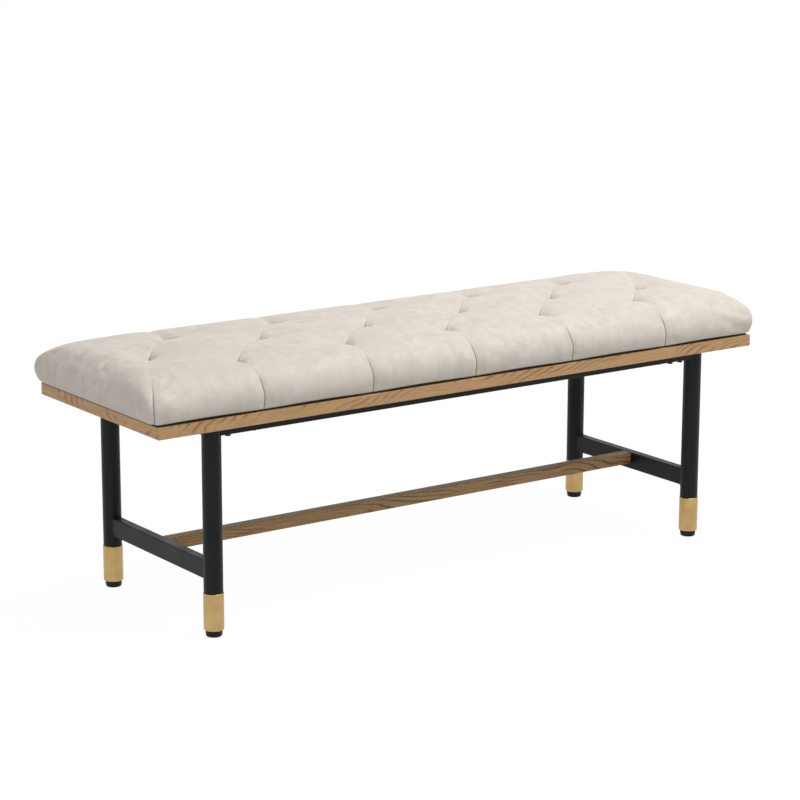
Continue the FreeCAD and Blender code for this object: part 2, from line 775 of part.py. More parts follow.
def rail_bolt():
    """A hexagon bolt that points up through its washer, whose top is at the origin."""
    body = new_body("rail_bolt_master")
    profile = new_sketch(body, "rail_bolt_profile", "XZ_Plane")
    add_outline(
        profile,
        [
            ("0", "-washer_height"),
            ("washer_diameter / 2", "-washer_height"),
            ("washer_diameter / 2", "0"),
            ("bolt_shank / 2", "0"),
            ("bolt_shank / 2", "bolt_length - bolt_lead"),
            ("bolt_shank / 2 - bolt_lead", "bolt_length"),
            ("0", "bolt_length"),
        ],
    )
    revolve(body, profile, "rail_bolt_turned")
    head = new_sketch(body, "rail_bolt_head", "XY_Plane")
    add_hexagon(head, "bolt_head")
    bind(head, "AttachmentOffset.Base.z", "-washer_height - bolt_head_height")
    pad(body, head, "rail_bolt_hexagon", "bolt_head_height")
    return body


def make_fasteners():
    frame_under = mm("frame_top") - mm("oak_thickness")
    rail_under = frame_under - mm("rail_height")
    deep = mm("leg_deep")

    first = mm("leg_across") - mm("bolt_first")
    second = mm("leg_across") - mm("bolt_second")
    front_bolts = [(-first, -deep), (first, -deep), (second, -deep)]
    back_bolts = [(-across, -y) for across, y in front_bolts]
    bolts = [(x, y, rail_under) for x, y in front_bolts + back_bolts]
    copies("rail_bolts", "rail_bolts", rail_bolt(), bolts)

    seat_screw = domed_screw(
        "seat_screw_master",
        "seat_screw_shank",
        "seat_screw_length",
        "seat_screw_head",
        "seat_screw_dome",
    )
    places = [
        (across, y, rail_under)
        for y in (-deep, deep)
        for across in (-mm("seat_screw_place"), 0, mm("seat_screw_place"))
    ]
    copies("seat_screws", "seat_screws", seat_screw, places)

    inset = mm("board_screw_inset")
    side_y = mm("seat_depth") / 2 - inset
    end_x = mm("seat_length") / 2 - inset
    far = mm("board_screw_far")
    near = mm("board_screw_near")
    end_y = mm("board_screw_end")
    places = [(x, y, frame_under) for y in (-side_y, side_y) for x in (-far, -near, near, far)]
    places += [(x, y, frame_under) for x in (-end_x, end_x) for y in (-end_y, end_y)]
    copies("board_screws", "board_screws", flush_screw(), places)

    middle = mm("stretcher_top") - mm("stretcher_height")
    reach = mm("leg_across") - mm("cross_width") / 2 - mm("tenon_hole")
    stretcher_screw = domed_screw(
        "stretcher_screw_master",
        "stretcher_screw_shank",
        "stretcher_height / 2 + tenon_thickness / 2",
        "stretcher_screw_head",
        "stretcher_screw_dome",
    )
    places = [(-reach, 0, middle), (reach, 0, middle)]
    copies("stretcher_screws", "stretcher_screws", stretcher_screw, places)


# Seat: plywood board, foam and upholstery, drawn down by sixteen tufts

def tuft_places():
    """Middle of every tuft: three rows, the middle one half a pitch out of step."""
    pitch = mm("tuft_pitch")
    places = []
    for row in (-1, 0, 1):
        count = TUFTS_IN_MIDDLE_ROW if row == 0 else TUFTS_IN_OUTER_ROW
        for k in range(count):
            places.append(((k - (count - 1) / 2) * pitch, row * mm("tuft_row")))
    return places


def mark_board_screws(sketch):
    """Circles where the screws pass from the oak frame into the seat board."""
    for side in ("-", ""):
        deep = f"{side}(seat_depth / 2 - board_screw_inset)"
        across = f"{side}(seat_length / 2 - board_screw_inset)"
        for along in LONG_SCREWS:
            add_circle(sketch, "board_screw_shank", along, deep)
        for along in SHORT_SCREWS:
            add_circle(sketch, "board_screw_shank", across, along)


def make_seat_board():
    """Plywood board with a hole under every tuft."""
    body = new_body("seat_board")
    plan = new_sketch(body, "seat_board_plan", "XY_Plane")
    add_rectangle(plan, "seat_length - 2 * board_gap", "seat_depth - 2 * board_gap")
    sheet_of_ply = pad(body, plan, "seat_board_sheet", "board_thickness")
    height = sheet_of_ply.Shape.BoundBox.ZLength

    def upright(edge):
        return edge.BoundBox.ZLength > height - 0.01

    dress(body, "Fillet", "seat_board_corners", upright, "Radius", "board_corner")
    ties = new_sketch(body, "seat_board_tie_marks", "XY_Plane")
    for row in (-1, 0, 1):
        count = TUFTS_IN_MIDDLE_ROW if row == 0 else TUFTS_IN_OUTER_ROW
        for k in range(count):
            across = f"{k - (count - 1) / 2} * tuft_pitch"
            add_circle(ties, "tie_diameter", across, f"{row} * tuft_row")
    pocket(body, ties, "seat_board_tie_holes")
    pilots = new_sketch(body, "seat_board_pilot_marks", "XY_Plane")
    mark_board_screws(pilots)
    bite = f"{FRAME_BOTTOM} + board_screw_length - {BOARD_BOTTOM}"
    pocket(body, pilots, "seat_board_pilot_holes", bite, reverse=True)
    place(body, up=BOARD_BOTTOM)
    return keep(body, "seat_board")


# Shares that shape the cushion between its measured points
ROLL_TURNS = (24, 42, 58, 72, 83)  # degrees round the roll at which sections stand
LOWER_SWELL = 0.72  # of the swell, half way up from the lower edge to the widest part
END_LIFT = 0.9  # of the way up to the widest part that the lower edge rises at the ends
ROLL_SHARE = 0.6  # of the half depth that the roll may take up
EDGE_FOLD = 0.4  # of a fold's depth that the panel between roll and fold sinks
LEAST_BULGE = 0.3  # millimetres that an arc stands out from its chord


class CushionForm:
    """The tufted cushion as closed sections across the bench, each of lines and arcs.

    Seen from above, two fold lines zigzag along the seat from tuft to tuft. Every
    section crosses both, so its top is three crowned arcs between the front roll, the
    two folds and the back roll. The folds are deepest at the tufts. `inset` draws the
    whole form in, for the foam under the cover."""

    def __init__(self, inset, bottom):
        self.bottom = bottom
        self.pitch = mm("tuft_pitch")
        self.row = mm("tuft_row")
        self.crown = mm("frame_top") + mm("cushion_height") - inset
        self.shoulder = self.crown - mm("shoulder_drop")
        self.belly = mm("frame_top") + mm("belly_height")
        self.foot_x = mm("seat_length") / 2 - mm("cushion_inset") - inset
        self.foot_y = mm("seat_depth") / 2 - mm("cushion_inset") - inset
        self.end_x = self.foot_x + mm("belly_end")
        self.side_y = self.foot_y + mm("belly_side")
        self.roll = mm("roll_radius")
        self.last_tuft = (TUFTS_IN_MIDDLE_ROW - 1) / 2 * self.pitch

    def stations(self):
        """Where the sections stand, from the left end to the right end."""
        half = self.pitch / 2
        columns = TUFTS_IN_OUTER_ROW + TUFTS_IN_MIDDLE_ROW
        reach = mm("tuft_reach")
        places = []
        for k in range(columns):
            column = (k - (columns - 1) / 2) * half
            places += [column - reach, column, column + reach]
            if k < columns - 1:
                places.append(column + half / 2)
        start = self.end_x - self.roll
        rounded = [start + self.roll * math.sin(math.radians(a)) for a in ROLL_TURNS]
        return [-x for x in reversed(rounded)] + places + rounded

    def end_turn(self, x):
        """How high the roll over the ends stands: 1 over the flat, 0 at the widest."""
        reach = max(0.0, abs(x) - (self.end_x - self.roll))
        return math.sqrt(max(0.0, 1.0 - (reach / self.roll) ** 2))

    def half_depth(self, x):
        """Half depth at the widest part, with round corners seen from above."""
        corner = mm("plan_corner")
        reach = max(0.0, abs(x) - (self.end_x - corner))
        return self.side_y - corner + math.sqrt(corner ** 2 - reach ** 2)

    def from_tuft(self, x, first):
        """Distance along the bench to the nearest tuft of a row that starts at first."""
        steps = (x - first) / self.pitch
        return abs(steps - round(steps)) * self.pitch

    def fold_line(self, x):
        """Distance of the fold lines from the middle of the seat."""
        narrow = mm("tuft_width") / 2
        if abs(x) <= self.last_tuft:
            to_middle_row = self.from_tuft(x, 0.0) / (self.pitch / 2)
            return max(narrow, self.row * (1.0 - to_middle_row))
        run_out = (abs(x) - self.last_tuft) / (self.foot_x - self.last_tuft)
        return narrow + run_out * self.foot_y

    def fold_depth(self, x):
        """Depth of the folds below the crown: deepest at the tufts."""
        near = min(self.from_tuft(x, 0.0), self.from_tuft(x, self.pitch / 2))
        pull = math.exp(-near / mm("tuft_reach")) if abs(x) <= self.last_tuft else 0.0
        return mm("fold_depth") + (mm("tuft_depth") - mm("fold_depth")) * pull

    def section(self, x):
        """Closed wire across the bench at x: arcs over the top, a line underneath."""
        end = self.end_turn(x)
        on_seam = abs(x) < self.last_tuft and self.from_tuft(x, 0.0) < 0.01
        drawn = mm("seam_depth") if on_seam else 0.0
        fold = self.fold_depth(x)

        def lowered(height):
            """A height of the full section, brought down towards the belly at the ends."""
            return self.belly + (height - self.belly) * end

        past_foot = max(0.0, abs(x) - self.foot_x) / mm("belly_end")
        rise = 1.0 - math.sqrt(max(0.0, 1.0 - past_foot ** 2))
        low = self.bottom + (self.belly - self.bottom) * rise * END_LIFT
        wide = self.half_depth(x)
        foot = wide - mm("belly_side") * (1.0 - rise)
        side = wide - drawn
        lower_side = foot + LOWER_SWELL * (side - foot)

        shoulder = wide - min(self.roll, wide * ROLL_SHARE)
        shoulder_top = lowered(self.shoulder - drawn)
        turn = math.sqrt(0.5)
        roll_y = shoulder + (side - shoulder) * turn
        roll_z = self.belly + (shoulder_top - self.belly) * turn

        fold_y = min(self.fold_line(x), shoulder - mm("fold_stop"))
        fold_z = lowered(self.crown - fold)
        edge_bulge = lowered(self.crown - EDGE_FOLD * fold - drawn) - fold_z
        edge_z = (shoulder_top + fold_z) / 2 + max(edge_bulge / 2, LEAST_BULGE)
        open_share = min(1.0, fold_y / self.row)
        middle_z = max(lowered(self.crown - fold * (1.0 - open_share)), fold_z + LEAST_BULGE)

        back = [
            (fold_y, fold_z),
            ((shoulder + fold_y) / 2, edge_z),
            (shoulder, shoulder_top),
            (roll_y, roll_z),
            (side, self.belly),
            (lower_side, (low + self.belly) / 2),
            (foot, low),
        ]
        front = [(-y, z) for y, z in reversed(back)]
        run = [FreeCAD.Vector(x, y, z) for y, z in front + [(0.0, middle_z)] + back]
        edges = [Part.Arc(*run[k:k + 3]).toShape() for k in range(0, len(run) - 2, 2)]
        edges.append(Part.LineSegment(run[-1], run[0]).toShape())
        return Part.Wire(edges)

    def solid(self):
        return Part.makeLoft([self.section(x) for x in self.stations()], True, True)


def add_solid(name, solids):
    """A plain feature that holds one ready-made solid, or several side by side."""
    item = doc.addObject("Part::Feature", name)
    item.Shape = solids[0] if len(solids) == 1 else Part.makeCompound(solids)
    return item


def centred_box(name, inset, low, height):
    """A box as large as the oak frame, less an inset all round."""
    box = doc.addObject("Part::Box", name)
    bind(box, "Length", f"seat_length - 2 * ({inset})")
    bind(box, "Width", f"seat_depth - 2 * ({inset})")
    bind(box, "Height", height)
    place(box, f"-(seat_length / 2 - ({inset}))", f"-(seat_depth / 2 - ({inset}))", low)
    return box


def tie_cords(bottom, top):
    """One upright cylinder in every tuft, between two heights."""
    radius = mm("tie_diameter") / 2
    return [
        Part.makeCylinder(radius, top - bottom, FreeCAD.Vector(x, y, bottom))
        for x, y in tuft_places()
    ]


def make_cushion():
    """Foam over the seat board, and the upholstery that wraps both."""
    hem_bottom = mm("frame_top") + mm("dust_cover_thickness")
    board_bottom = hem_bottom + mm("cover_thickness")
    foam_bottom = board_bottom + mm("board_thickness")
    foam_top = mm("frame_top") + mm("cushion_height") - mm("padding")
    tuft_bottom = foam_top - mm("tuft_depth")

    filling = CushionForm(mm("padding"), foam_bottom).solid()
    bores = Part.makeCompound(tie_cords(board_bottom, foam_top))
    keep(add_solid("foam_pad", [filling.cut(bores)]), "foam_pad")

    outside = add_solid("cover_outside", [CushionForm(0.0, hem_bottom).solid()])
    inside = add_solid("cover_inside", [filling])
    board_room = centred_box("cover_board_room", "board_gap", BOARD_BOTTOM, "board_thickness")
    opening_height = f"{BOARD_BOTTOM} - frame_top"
    opening_inset = "cushion_inset + hem_width"
    opening = centred_box("cover_opening", opening_inset, "frame_top", opening_height)
    hollow = doc.addObject("Part::MultiFuse", "cover_hollow")
    hollow.Shapes = [inside, board_room, opening]
    cover = doc.addObject("Part::Cut", "seat_cover")
    cover.Base = outside
    cover.Tool = hollow
    doc.recompute()
    keep(cover, "seat_cover")

    cords = tie_cords(board_bottom, tuft_bottom - mm("tie_end"))
    keep(add_solid("tuft_ties", cords), "tuft_ties")
    thickness = mm("toggle_thickness")
    toggles = [
        Part.makeCylinder(
            mm("toggle_diameter") / 2, thickness, FreeCAD.Vector(x, y, board_bottom - thickness)
        )
        for x, y in tuft_places()
    ]
    keep(add_solid("tuft_toggles", toggles), "tuft_toggles")


def make_dust_cover():
    """Thin black cloth under the cushion, pierced by the board screws."""
    body = new_body("dust_cover")
    plan = new_sketch(body, "dust_cover_plan", "XY_Plane")
    inset = "(cushion_inset + hem_width / 2)"
    add_rectangle(plan, f"seat_length - 2 * {inset}", f"seat_depth - 2 * {inset}")
    pad(body, plan, "dust_cover_cloth", "dust_cover_thickness")
    holes = new_sketch(body, "dust_cover_hole_marks", "XY_Plane")
    mark_board_screws(holes)
    pocket(body, holes, "dust_cover_holes")
    place(body, up="frame_top")
    return keep(body, "dust_cover")


def write_parts():
    """Refuse a failed or empty shape, then write one file for each sub-part."""
    doc.recompute()
    for item in doc.Objects:
        if {"Invalid", "Error"} & set(item.State):
            raise RuntimeError(f"{item.Label} failed: {item.State}")
    for item in parts:
        if item.Shape.isNull() or not item.Shape.isValid():
            raise RuntimeError(f"{item.Label} has no valid shape")
    os.makedirs("parts", exist_ok=True)
    for item in parts:
        item.Shape.exportStep(os.path.join("parts", item.Label + ".step"))
        box = item.Shape.BoundBox
        print(
            f"{item.Label}: {len(item.Shape.Solids)} solid(s),"
            f" {box.XLength:.1f} x {box.YLength:.1f} x {box.ZLength:.1f} mm,"
            f" z {box.ZMin:.1f} to {box.ZMax:.1f}"
        )


make_oak_frame()
make_underframe()
make_stretcher()
make_fasteners()
make_seat_board()
make_cushion()
make_dust_cover()
write_parts()
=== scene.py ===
import math

import bmesh
import bpy
import numpy as np
from mathutils import Matrix, Vector


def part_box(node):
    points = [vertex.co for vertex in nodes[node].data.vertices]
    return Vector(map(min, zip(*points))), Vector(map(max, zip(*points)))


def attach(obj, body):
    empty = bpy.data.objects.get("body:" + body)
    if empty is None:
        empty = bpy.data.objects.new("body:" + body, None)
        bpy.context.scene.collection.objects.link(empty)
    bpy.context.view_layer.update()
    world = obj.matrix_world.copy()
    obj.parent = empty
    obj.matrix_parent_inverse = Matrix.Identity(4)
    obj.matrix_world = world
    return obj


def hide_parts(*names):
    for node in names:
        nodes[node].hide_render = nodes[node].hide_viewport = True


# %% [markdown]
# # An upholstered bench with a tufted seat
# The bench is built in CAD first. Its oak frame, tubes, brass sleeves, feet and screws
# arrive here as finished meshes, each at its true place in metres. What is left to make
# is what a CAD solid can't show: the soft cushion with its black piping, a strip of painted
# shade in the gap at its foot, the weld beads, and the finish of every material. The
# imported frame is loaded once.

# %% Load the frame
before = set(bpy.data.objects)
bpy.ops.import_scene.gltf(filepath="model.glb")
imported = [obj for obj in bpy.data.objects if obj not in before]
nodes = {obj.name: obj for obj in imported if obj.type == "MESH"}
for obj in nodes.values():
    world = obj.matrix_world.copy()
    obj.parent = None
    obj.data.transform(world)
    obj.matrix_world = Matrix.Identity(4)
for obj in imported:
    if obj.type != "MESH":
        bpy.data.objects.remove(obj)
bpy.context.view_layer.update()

# %% [markdown]
# ## The camera
# The photograph was taken from the front left and a little above, with a long lens.
# The camera's place was worked out from the straight edges of the frame and legs, as a
# turn about Z, a tilt downwards, a tiny roll and a focal length in picture widths.
# Writing the rotation out as three axes avoids any guess about the order of angles.

# %% Set up the camera
TURN, TILT, ROLL = 0.61750, 0.23208, 0.00239
EYE = Vector((-2.92642, -4.08416, 1.51549))
FOCAL_IN_WIDTHS = 2615.25 / 800.0

ahead = Vector((math.sin(TURN) * math.cos(TILT), math.cos(TURN) * math.cos(TILT), -math.sin(TILT)))
level = Vector((math.cos(TURN), -math.sin(TURN), 0.0))
upright = level.cross(ahead)
right = math.cos(ROLL) * level + math.sin(ROLL) * upright
up = math.cos(ROLL) * upright - math.sin(ROLL) * level

camera_data = bpy.data.cameras.new("photo_camera")
camera_data.sensor_width = 36.0
camera_data.lens = FOCAL_IN_WIDTHS * camera_data.sensor_width
camera_data.clip_end = 100.0
camera = bpy.data.objects.new("photo_camera", camera_data)
bpy.context.scene.collection.objects.link(camera)
camera.matrix_world = Matrix.Translation(EYE) @ Matrix((right, up, -ahead)).transposed().to_4x4()
bpy.context.scene.camera = camera
bpy.context.scene.view_settings.view_transform = "Standard"
print("camera at", tuple(round(v, 3) for v in EYE), "lens", round(camera_data.lens, 2), "mm")

# %% [markdown]
# ## Helpers for meshes and node trees
# A surface here is a grid of points worked out with numpy. These helpers turn such a grid
# into a mesh object, joining its last row or column to the first where the surface runs
# round, and carry points and numbers between numpy and a mesh in one go.

# %% Mesh helpers
def grid_faces(rows, columns, wrap_rows=False, wrap_columns=False):
    """Corner numbers of the quads between neighbouring points of a rows x columns grid."""
    i = np.arange(rows if wrap_rows else rows - 1)
    j = np.arange(columns if wrap_columns else columns - 1)
    i, j = np.meshgrid(i, j, indexing="ij")
    below, beside = (i + 1) % rows, (j + 1) % columns
    corners = (i * columns + j, i * columns + beside, below * columns + beside, below * columns + j)
    return np.stack(corners, axis=-1).reshape(-1, 4)


def mesh_object(name, points, faces, smooth=True):
    """A new object whose mesh holds the points, in metres, and the faces."""
    mesh = bpy.data.meshes.new(name)
    mesh.from_pydata(np.asarray(points, float).reshape(-1, 3).tolist(), [], [list(f) for f in faces])
    if smooth:
        mesh.shade_smooth()
    piece = bpy.data.objects.new(name, mesh)
    bpy.context.scene.collection.objects.link(piece)
    return piece


def face_outwards(piece):
    """Turns all faces of a closed piece so that they point out of it."""
    shell = bmesh.new()
    shell.from_mesh(piece.data)
    bmesh.ops.recalc_face_normals(shell, faces=shell.faces)
    shell.to_mesh(piece.data)
    shell.free()


def points_of(mesh):
    """All vertex positions of a mesh as an array of x, y, z."""
    flat = np.empty(len(mesh.vertices) * 3, np.float32)
    mesh.vertices.foreach_get("co", flat)
    return flat.reshape(-1, 3).astype(float)


def move_points(mesh, points):
    """Puts changed vertex positions back into a mesh."""
    mesh.vertices.foreach_set("co", np.asarray(points, np.float32).ravel())
    mesh.update()


def store_numbers(mesh, name, values):
    """Keeps one number for each vertex under a name that a material can read."""
    attribute = mesh.attributes.new(name, "FLOAT", "POINT")
    attribute.data.foreach_set("value", np.asarray(values, np.float32))


print("mesh helpers ready")

# %% [markdown]
# A finish is a short recipe of nodes: patterns read the object's own coordinates, a ramp
# or a mix turns them into colours, and bumps add relief that is too fine for the mesh.
# Node trees get long when each link has a line of its own, so one helper adds a node and
# fills in its sockets at once. Colours are written as they look on screen.

# %% Material helpers
def new_material(name, **shader):
    """A material with one Principled shader. Keywords such as base_color set its sockets."""
    material = bpy.data.materials.new(name)
    material.use_nodes = True
    principled = material.node_tree.nodes["Principled BSDF"]
    for socket, value in shader.items():
        principled.inputs[socket.replace("_", " ").title().replace("Ior", "IOR")].default_value = value
    return material, material.node_tree, principled


def add(tree, kind, **settings):
    """Adds a node. set_NAME sets a property, which comes first, since it can change the
    sockets. The other settings name a socket, or give its number as iN, and what goes in:
    an output socket is linked, and anything else is a value."""
    node = tree.nodes.new("ShaderNode" + kind)
    for key, value in settings.items():
        if key.startswith("set_"):
            setattr(node, key[4:], value)
    for key, value in settings.items():
        if key.startswith("set_"):
            continue
        socket = node.inputs[int(key[1:])] if key[0] == "i" and key[1:].isdigit() else node.inputs[key]
        if isinstance(value, bpy.types.NodeSocket):
            tree.links.new(value, socket)
        else:
            socket.default_value = value
    return node


def place_of(tree, scale=(1.0, 1.0, 1.0), turn=(0.0, 0.0, 0.0), shift=(0.0, 0.0, 0.0)):
    """The object's own coordinates, in metres, turned and stretched for a pattern."""
    where = add(tree, "TexCoord").outputs["Object"]
    return add(tree, "Mapping", Vector=where, Scale=scale, Rotation=turn, Location=shift).outputs[0]


def noise(tree, vector, scale, detail=3.0, roughness=0.5, distortion=0.0):
    """Soft random values between 0 and 1."""
    return add(
        tree, "TexNoise", Vector=vector, Scale=scale, Detail=detail, Roughness=roughness,
        Distortion=distortion,
    ).outputs[0]


def ramp(tree, value, stops):
    """Colours between stops of (position, (r, g, b))."""
    node = add(tree, "ValToRGB", Fac=value)
    elements = node.color_ramp.elements
    for k, (position, color) in enumerate(stops):
        element = elements[k] if k < 2 else elements.new(position)
        element.position = position
        element.color = (*color, 1.0)
    return node.outputs[0]


def span(tree, value, low, high, to_low=0.0, to_high=1.0):
    """Maps low..high of a value to new limits, smoothly and without going past them."""
    node = add(
        tree, "MapRange", set_interpolation_type="SMOOTHSTEP", Value=value,
        **{"From Min": low, "From Max": high, "To Min": to_low, "To Max": to_high},
    )
    return node.outputs[0]


def math_of(tree, operation, a, b=0.5):
    """One step of arithmetic on one or two values."""
    return add(tree, "Math", set_operation=operation, i0=a, i1=b).outputs[0]


def product(tree, a, b):
    """a times b."""
    return math_of(tree, "MULTIPLY", a, b)


def total(tree, a, b):
    """a plus b."""
    return math_of(tree, "ADD", a, b)


def mixed(tree, share, first, second, how="MIX"):
    """Mixes two colours by a share from 0 to 1."""
    node = add(tree, "Mix", set_data_type="RGBA", set_blend_type=how, i0=share, i6=first, i7=second)
    return node.outputs[2]


def bumped(tree, principled, heights):
    """Chains bumps given as (height, distance in metres, strength) into the shader's normal."""
    normal = None
    for height, distance, strength in heights:
        bump = add(tree, "Bump", Height=height, Distance=distance, Strength=strength)
        if normal is not None:
            tree.links.new(normal, bump.inputs["Normal"])
        normal = bump.outputs[0]
    tree.links.new(normal, principled.inputs["Normal"])


def rgb(r, g, b):
    """A colour as it looks on screen, 0 to 255, turned into the light values of a shader."""
    srgb = np.array([r, g, b]) / 255.0
    linear = np.where(srgb <= 0.04045, srgb / 12.92, ((srgb + 0.055) / 1.055) ** 2.4)
    return tuple(float(v) for v in linear)


print("material helpers ready")

# %% [markdown]
# ## The cushion
# On the real bench a plywood board carries thick foam under soft leather. Sixteen cords
# pull the leather down at the tufts, and six sewn seams zigzag over the seat from front
# to back through them. It could be modelled by pushing vertices about by hand, but the
# leather's fullness between the tufts is just what cloth under pressure does. So the
# form is first drawn as stacked outlines, the tufts are drawn down by a formula, and then
# Blender's cloth swells it a little while the tufts, seams and lower edge are held.
#
# The places of the tufts were read off the photograph, so they wander a few millimetres
# from an even pattern, as hand upholstery does.

# %% Where the tufts, seams and folds run
# Places in plan, in metres. SEAM_FEET and BACK_FEET are where the seams reach the lower
# edge along the front and the back, and FACE is a little outside both.
FRONT_TUFTS = [(-0.483, -0.131), (-0.239, -0.121), (-0.008, -0.124), (0.227, -0.116), (0.473, -0.113)]
MIDDLE_TUFTS = [
    (-0.598, -0.010), (-0.351, 0.001), (-0.122, -0.015), (0.109, -0.011), (0.347, 0.000), (0.566, -0.019)
]
BACK_TUFTS = [(-0.492, 0.104), (-0.249, 0.114), (-0.006, 0.112), (0.227, 0.110), (0.465, 0.110)]
TUFTS = np.array(FRONT_TUFTS + MIDDLE_TUFTS + BACK_TUFTS)
FACE = 0.232
SEAM_FEET = (-0.478, -0.2405, -0.002, 0.2335, 0.471)
BACK_FEET = (-0.493, -0.239, -0.020, 0.212, 0.450)

front_seams = list(zip(FRONT_TUFTS, [(x, -FACE) for x in SEAM_FEET]))
back_seams = list(zip(BACK_TUFTS, [(x, FACE) for x in BACK_FEET]))
corner_seams = [(MIDDLE_TUFTS[0], (-0.712, -0.2265)), (MIDDLE_TUFTS[5], (0.706, 0.2265))]
rising_seams = list(zip(FRONT_TUFTS, MIDDLE_TUFTS[1:])) + list(zip(MIDDLE_TUFTS[:-1], BACK_TUFTS))
SEAMS = front_seams + back_seams + corner_seams + rising_seams
print(len(TUFTS), "tufts and", len(SEAMS), "runs of seam")

# %% [markdown]
# The outline of the cushion is a rectangle with round corners whose size changes with
# height. It starts close to the oak's edge, swells to its widest, and then rolls over to
# the top in nearly a quarter of an ellipse. The left end is fuller than the right one, as
# in the photograph. Stacking thirty such outlines gives a closed form.

# %% Stack the outlines
OAK_TOP = 0.4143
CROWN = 0.4980
ROLL_START = 0.4380
CORNER_HEIGHTS = (OAK_TOP, 0.440, CROWN)
CORNER_RADII = (0.008, 0.015, 0.026)
# How far each side stands out at the oak and at its widest, the height where it is widest,
# and how far it draws in from there to the crown, in metres.
LONG_SIDE = (0.2165, 0.2250, 0.4385, 0.0830)
LEFT_END = (0.7040, 0.7205, 0.4570, 0.0520)
RIGHT_END = (0.6965, 0.7120, 0.4560, 0.0580)


def reach_at(z, foot, widest, at, draws_in):
    """How far out a side stands at height z. Below `at` it swells from the foot as a sine.
    Above it the side draws in by draws_in * (1 - sqrt(1 - s * s)), where s is the share
    of the rise from `at` to the crown."""
    low = np.clip((z - OAK_TOP) / (at - OAK_TOP), 0.0, 1.0)
    high = np.clip((z - at) / (CROWN - at), 0.0, 1.0)
    outwards = (widest - foot) * np.sin(low * math.pi / 2)
    inwards = draws_in * (1.0 - np.sqrt(1.0 - high * high))
    return foot + outwards - inwards


def stacked_outlines(heights, per_corner=12, along=72, across=28):
    """Points of every outline, as an array of outline x point x (x, y, z). A quarter circle
    turns each corner, and evenly divided straights join the four quarters."""
    side, left, right_end = (reach_at(heights, *s)[:, None] for s in (LONG_SIDE, LEFT_END, RIGHT_END))
    radius = np.interp(heights, CORNER_HEIGHTS, CORNER_RADII)[:, None]
    turn = np.linspace(0.0, math.pi / 2, per_corner)[None]
    limits = ((right_end, side), (-left, side), (-left, -side), (right_end, -side))
    corners = []
    for k, (end, edge) in enumerate(limits):
        angle = turn + k * math.pi / 2
        middle_x, middle_y = end - np.sign(end) * radius, edge - np.sign(edge) * radius
        corner = (middle_x + radius * np.cos(angle), middle_y + radius * np.sin(angle))
        corners.append(np.stack(corner, axis=2))
    rows = []
    for k, steps in enumerate((along, across, along, across)):
        start, stop = corners[k][:, -1:], corners[(k + 1) % 4][:, :1]
        share = np.linspace(0.0, 1.0, steps + 1)[1:-1][None, :, None]
        rows += [corners[k], start + share * (stop - start)]
    plan = np.concatenate(rows, axis=1)
    level = np.broadcast_to(heights[:, None, None], plan.shape[:2] + (1,))
    return np.concatenate([plan, level], axis=2)


swelling = np.linspace(OAK_TOP, ROLL_START, 8)
rolling = ROLL_START + (CROWN - ROLL_START) * np.sin(np.linspace(0.0, math.pi / 2, 23))[1:]
shell = stacked_outlines(np.concatenate([swelling, rolling]))
count, ring = shell.shape[:2]
shell_faces = grid_faces(count, ring, wrap_columns=True).tolist()
shell_faces += [list(range(ring))[::-1], list(range((count - 1) * ring, count * ring))]
cushion = mesh_object("tufted_cushion", shell, shell_faces)
print("outlines:", count, "of", ring, "points")

# %% [markdown]
# Two curves shape what follows: a bell, which draws a dip or a ridge, and an ease, which
# is a smooth step from 0 to 1. They are fed with heights and with distances in plan, to
# the nearest tuft or the nearest seam.

# %% Curves and distances
def bell(distance, width):
    """1 at distance 0, falling as a bell curve of the given width."""
    return np.exp(-((distance / width) ** 2))


def ease(value, low, high):
    """0 below low and 1 above high, with a smooth step between them."""
    share = np.clip((value - low) / (high - low), 0.0, 1.0)
    return share * share * (3.0 - 2.0 * share)


def nearest_seam(points):
    """Distance from each point to the nearest seam in plan, positive on the seam's right when
    seen from its front end. The gap is measured to the straight run between its two ends."""
    best = np.full(len(points), 9.0)
    for ends in SEAMS:
        (ax, ay), (bx, by) = sorted(ends, key=lambda end: end[1])
        length = math.hypot(bx - ax, by - ay)
        ux, uy = (bx - ax) / length, (by - ay) / length
        dx, dy = points[:, 0] - ax, points[:, 1] - ay
        along = np.clip(dx * ux + dy * uy, 0.0, length)
        gap = np.hypot(dx - along * ux, dy - along * uy)
        signed = np.where(dx * uy - dy * ux >= 0.0, gap, -gap)
        best = np.where(gap < np.abs(best), signed, best)
    return best


def nearest_tuft(points):
    """Distance in plan from each point to the nearest tuft."""
    return np.hypot(points[:, None, 0] - TUFTS[:, 0], points[:, None, 1] - TUFTS[:, 1]).min(axis=1)


def on_top(points):
    """1 on the top of the seat and 0 on its sides, with a smooth step in the roll between."""
    return ease(points[:, 2], 0.462, 0.492)


centre = np.zeros((1, 3))
print("the middle of the seat is", round(float(nearest_tuft(centre)[0]) * 1000), "mm from a tuft")

# %% [markdown]
# The outlines have too few points for folds, and their flat lid has none. Voxel
# remeshing skins the form again with an even net of small squares, which bends the same
# way everywhere. The lid is then domed in the middle and lowered at both ends, the tufts
# are drawn down, and the leather is pulled in a little all along the seams. Each tuft is
# a sum of two bells, one steep and one with a long soft tail.

# %% Even net, domed top, tufts and valleys
NET_SIZE = 0.0060
DOME = 0.0045
END_DROP = 0.0045
TUFT_DEPTH = 0.0150
VALLEY_DEPTH = 0.0034


def apply_modifiers(piece):
    """Makes the result of the modifiers the piece's own mesh."""
    graph = bpy.context.evaluated_depsgraph_get()
    mesh = bpy.data.meshes.new_from_object(piece.evaluated_get(graph))
    piece.modifiers.clear()
    old, piece.data = piece.data, mesh
    bpy.data.meshes.remove(old)
    mesh.name = piece.name


